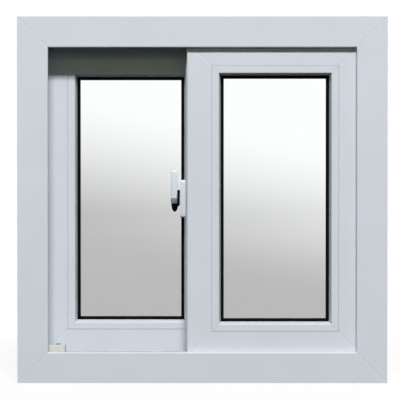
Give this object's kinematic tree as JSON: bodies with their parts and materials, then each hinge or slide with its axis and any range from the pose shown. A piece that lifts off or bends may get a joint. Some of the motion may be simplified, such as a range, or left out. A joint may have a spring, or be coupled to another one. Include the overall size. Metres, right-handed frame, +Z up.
{
  "type": "sliding window",
  "caption": "Square two-track sliding window in white hollow vinyl profiles: mitred frame, glazed sashes on rollers, crescent lock and keeper between the meeting stiles.",
  "frame": {"origin": "middle of the underside of the sill", "axes": "+X along the tracks to the right seen from the room, +Y from the room outwards, +Z up"},
  "size_m": [0.6, 0.088, 0.594],
  "materials": {
    "white_vinyl": "extruded satin white vinyl",
    "white_lock_plastic": "powder-coated smooth white",
    "clear_glass": "clear float",
    "black_rubber": "matt",
    "black_plastic": "moulded",
    "grey_pile": "woven pile",
    "mill_aluminium": "extruded",
    "cream_nylon": "moulded",
    "zinc_steel": "zinc plated"
  },
  "bodies": {
    "frame": {"frame_head": "white_vinyl", "frame_sill": "white_vinyl", "frame_jamb_left": "white_vinyl", "frame_jamb_right": "white_vinyl", "front_rail": "mill_aluminium", "rear_rail": "mill_aluminium", "stop_block": "cream_nylon", "stop_block_screw": "zinc_steel"},
    "front_sash": {"front_top_rail": "white_vinyl", "front_bottom_rail": "white_vinyl", "front_meeting_stile": "white_vinyl", "front_jamb_stile": "white_vinyl", "front_bead_top": "white_vinyl", "front_bead_bottom": "white_vinyl", "front_bead_left": "white_vinyl", "front_bead_right": "white_vinyl", "front_glass": "clear_glass", "front_inner_gaskets": "black_rubber", "front_outer_gaskets": "black_rubber", "front_setting_blocks": "black_plastic", "front_pile_strips": "grey_pile", "front_guide_blocks": "black_plastic", "front_interlock": "white_vinyl", "front_roller_housing_left": "zinc_steel", "front_roller_housing_right": "zinc_steel", "front_roller_axles": "zinc_steel", "front_roller_screws": "zinc_steel", "lock_base": "white_lock_plastic", "lock_base_screws": "zinc_steel"},
    "rear_sash": {"rear_top_rail": "white_vinyl", "rear_bottom_rail": "white_vinyl", "rear_meeting_stile": "white_vinyl", "rear_jamb_stile": "white_vinyl", "rear_bead_top": "white_vinyl", "rear_bead_bottom": "white_vinyl", "rear_bead_left": "white_vinyl", "rear_bead_right": "white_vinyl", "rear_glass": "clear_glass", "rear_inner_gaskets": "black_rubber", "rear_outer_gaskets": "black_rubber", "rear_setting_blocks": "black_plastic", "rear_pile_strips": "grey_pile", "rear_guide_blocks": "black_plastic", "rear_interlock": "white_vinyl", "rear_roller_housing_left": "zinc_steel", "rear_roller_housing_right": "zinc_steel", "rear_roller_axles": "zinc_steel", "rear_roller_screws": "zinc_steel", "keeper": "black_plastic", "keeper_screws": "zinc_steel"},
    "lever": {"lock_lever": "white_lock_plastic", "lock_cam": "black_plastic", "lock_spindle": "zinc_steel"},
    "front_wheel_left": {"front_wheel_left": "cream_nylon"},
    "front_wheel_right": {"front_wheel_right": "cream_nylon"},
    "rear_wheel_left": {"rear_wheel_left": "cream_nylon"},
    "rear_wheel_right": {"rear_wheel_right": "cream_nylon"}
  },
  "joints": [
    {"name": "front_sash_slide", "type": "slide", "parent": "frame", "child": "front_sash", "axis": [-1, 0, 0], "range_m": [0, 0.1965]},
    {"name": "rear_sash_slide", "type": "slide", "parent": "frame", "child": "rear_sash", "axis": [1, 0, 0], "range_m": [0, 0.2265]},
    {"name": "lock_turn", "type": "hinge", "parent": "front_sash", "child": "lever", "pos_m": [-0.0383, -0.012, 0.299], "axis": [1, 0, 0], "range_deg": [0, 180]},
    {"name": "front_wheel_left_spin", "type": "hinge", "parent": "front_sash", "child": "front_wheel_left", "pos_m": [0.035, -0.02, 0.0577], "axis": [0, 1, 0], "continuous": true},
    {"name": "front_wheel_right_spin", "type": "hinge", "parent": "front_sash", "child": "front_wheel_right", "pos_m": [0.202, -0.02, 0.0577], "axis": [0, 1, 0], "continuous": true},
    {"name": "rear_wheel_left_spin", "type": "hinge", "parent": "rear_sash", "child": "rear_wheel_left", "pos_m": [-0.202, 0.02, 0.0577], "axis": [0, 1, 0], "continuous": true},
    {"name": "rear_wheel_right_spin", "type": "hinge", "parent": "rear_sash", "child": "rear_wheel_right", "pos_m": [-0.035, 0.02, 0.0577], "axis": [0, 1, 0], "continuous": true}
  ],
  "couplings": [
    {"joint": "front_wheel_left_spin", "follows": "front_sash_slide", "rad_per_m": -135.14},
    {"joint": "front_wheel_right_spin", "follows": "front_sash_slide", "rad_per_m": -135.14},
    {"joint": "rear_wheel_left_spin", "follows": "rear_sash_slide", "rad_per_m": 135.14},
    {"joint": "rear_wheel_right_spin", "follows": "rear_sash_slide", "rad_per_m": 135.14}
  ]
}
